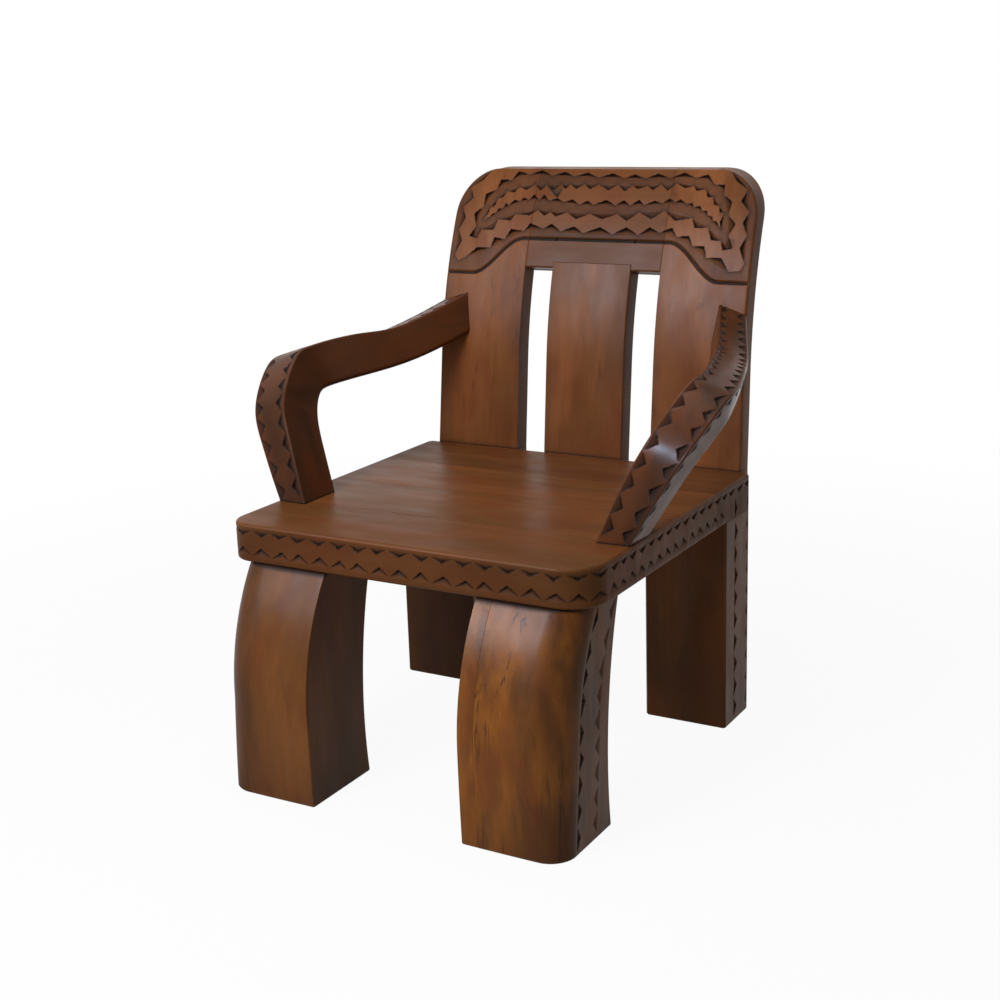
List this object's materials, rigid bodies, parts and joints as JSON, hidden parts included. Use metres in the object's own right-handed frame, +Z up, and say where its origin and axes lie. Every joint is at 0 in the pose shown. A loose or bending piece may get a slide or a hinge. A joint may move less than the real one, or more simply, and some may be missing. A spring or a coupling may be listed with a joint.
{
  "type": "carved hardwood armchair",
  "caption": "Solid hardwood armchair with a thick slab seat, block legs, bent arms and a leaning slatted back, edged and crested with chip-carved zigzag bands.",
  "frame": {"origin": "on the floor at mid-width, midway between the foremost point of the front legs and the rearmost point of the back", "axes": "+Z up, +X to the sitter's left, +Y to the rear, so the chair faces -Y"},
  "size_m": [0.8286, 0.8202, 0.9098],
  "materials": {
    "seat_wood": "satin lacquer over a red-brown stain",
    "leg_wood": "satin lacquer over an orange-brown stain",
    "back_wood": "satin lacquer over a red-brown stain, dark glaze in the carving",
    "arm_wood": "satin lacquer over a dark red-brown stain, dark glaze in the carving",
    "dowel_wood": "unfinished pale hardwood"
  },
  "bodies": {
    "root": {"seat_board_front": "seat_wood", "seat_board_front_middle": "seat_wood", "seat_board_rear_middle": "seat_wood", "seat_board_rear": "seat_wood", "seat_board_dowels": "dowel_wood", "front_left_leg": "leg_wood", "front_left_leg_stave": "leg_wood", "front_right_leg": "leg_wood", "rear_left_leg": "leg_wood", "rear_right_leg": "leg_wood", "front_leg_dowels": "dowel_wood", "rear_leg_dowels": "dowel_wood", "back_left_stile": "back_wood", "back_right_stile": "back_wood", "back_centre_splat": "back_wood", "back_head_block": "back_wood", "head_block_dowels": "dowel_wood", "splat_dowels": "dowel_wood", "back_foot_dowels": "dowel_wood", "left_arm_rail": "arm_wood", "left_arm_post": "arm_wood", "right_arm_rail": "arm_wood", "right_arm_post": "arm_wood", "arm_joint_dowels": "dowel_wood", "arm_back_dowels": "dowel_wood", "arm_foot_dowels": "dowel_wood"}
  },
  "joints": []
}
